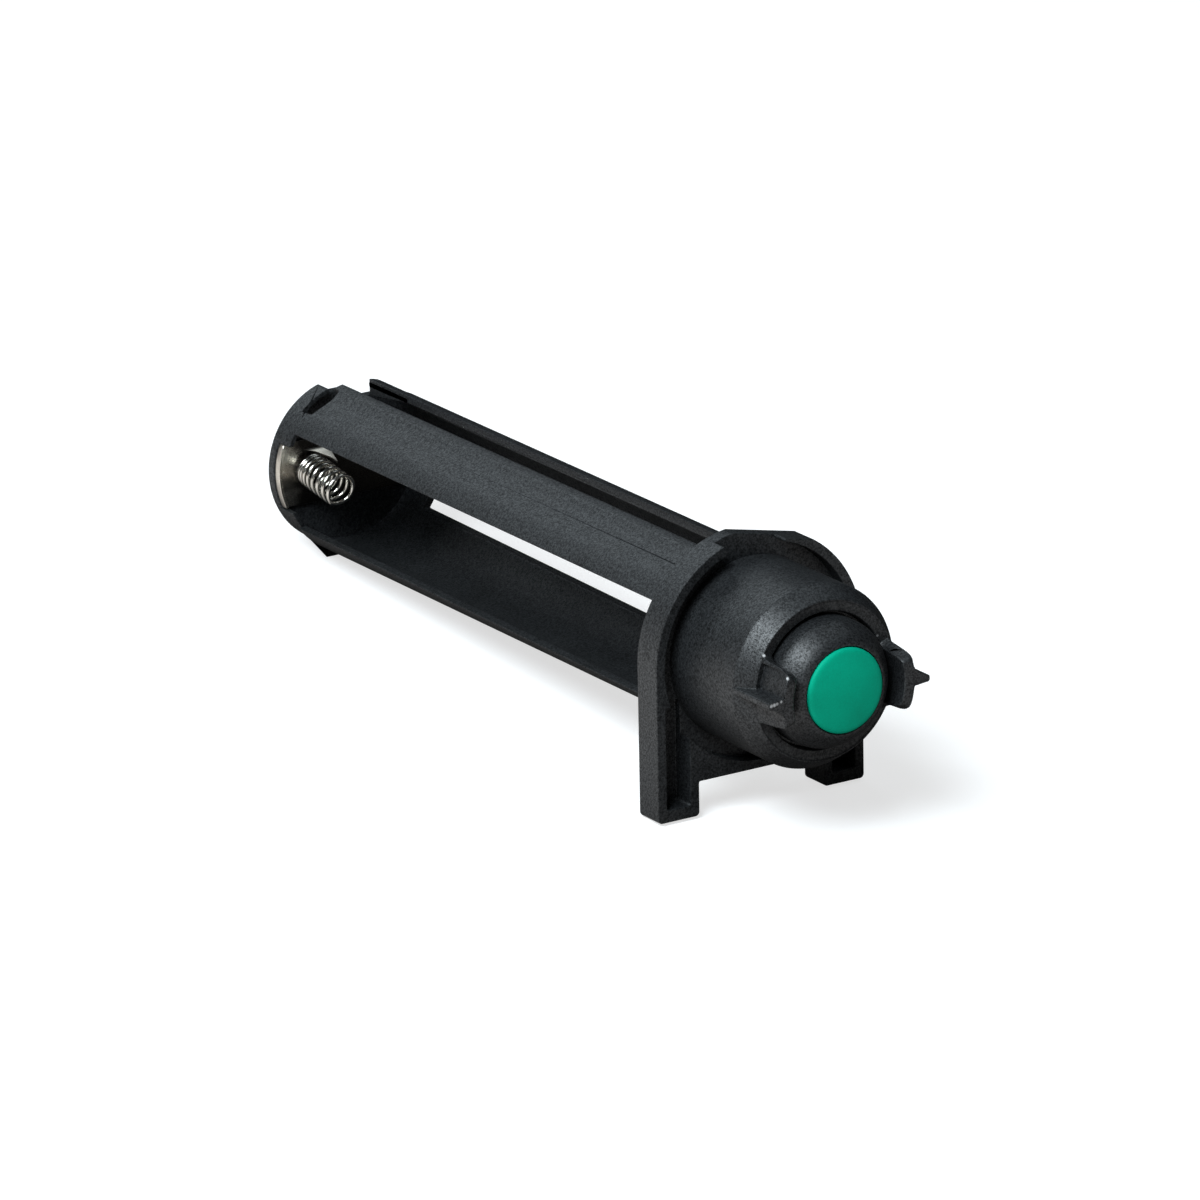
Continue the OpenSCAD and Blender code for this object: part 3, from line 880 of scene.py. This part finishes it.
def softbox(name, direction, distance, width, height, power):
    """Area lamp that looks at the middle of the holder."""
    lamp = bpy.data.lights.new(name, "AREA")
    lamp.shape = "RECTANGLE"
    lamp.size = width
    lamp.size_y = height
    lamp.energy = power
    lamp.color = (0.9, 1.0, 1.06)
    thing = bpy.data.objects.new(name, lamp)
    bpy.context.scene.collection.objects.link(thing)
    centre = Vector((0, FRONT + 0.035, 0))
    thing.location = centre + Vector(direction).normalized() * distance
    thing.rotation_euler = (centre - thing.location).to_track_quat("-Z", "Y").to_euler()


def make_light():
    """White surroundings for the camera, dark ones for the light, and three softboxes."""
    world = bpy.data.worlds.new("studio")
    bpy.context.scene.world = world
    world.use_nodes = True
    sky = Tree(world.node_tree)
    seen = sky.add("ShaderNodeLightPath", output="Is Camera Ray")
    shown = sky.add("ShaderNodeMix", {"data_type": "RGBA"}, {0: seen, 6: grey(0.006), 7: grey(1.0)}, 2)
    glow = sky.add("ShaderNodeBackground", {}, {"Color": shown})
    sky.add("ShaderNodeOutputWorld", {}, {"Surface": glow})
    softbox("key", (-0.62, -0.34, 0.76), 0.7, 0.4, 0.3, 8)
    softbox("sky", (-0.12, 0.8, 0.65), 0.9, 0.8, 0.5, 1.9)
    softbox("top", (0.4, -0.1, 0.86), 0.9, 0.5, 0.5, 0.9)


def make_camera():
    """Long lens from the front left, a little above the tube."""
    aim = Vector((-13.03, 10.39, 5.36)) * MM + Vector((0, FRONT, 0))
    across = Vector((0.84001, -0.54227, -0.01794)).normalized()
    view = Vector((0.51061, 0.80128, -0.31180)).normalized()
    up = across.cross(view).normalized()
    across = view.cross(up)
    data = bpy.data.cameras.new("camera")
    data.sensor_width = 36
    data.lens = 306.8
    data.clip_start, data.clip_end = 0.05, 30
    camera = bpy.data.objects.new("camera", data)
    bpy.context.scene.collection.objects.link(camera)
    turn = Matrix((across, up, -view)).transposed().to_4x4()
    camera.matrix_world = Matrix.Translation(aim - view * 1.0642) @ turn
    bpy.context.scene.camera = camera


def finish_inner_nodes():
    """Finishes for the CAD pieces that stay as they are."""
    for node, finish in (("spring_seat", SEAT_GREY), ("front_disc", STRIP), ("clip_ring", STEEL)):
        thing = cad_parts[node]
        thing.data.materials.clear()
        thing.data.materials.append(finish)


make_cage()
make_strip()
make_springs()
make_cap()
make_button()
finish_inner_nodes()
pale_floor()
make_light()
make_camera()
bpy.context.scene.view_settings.view_transform = "Standard"
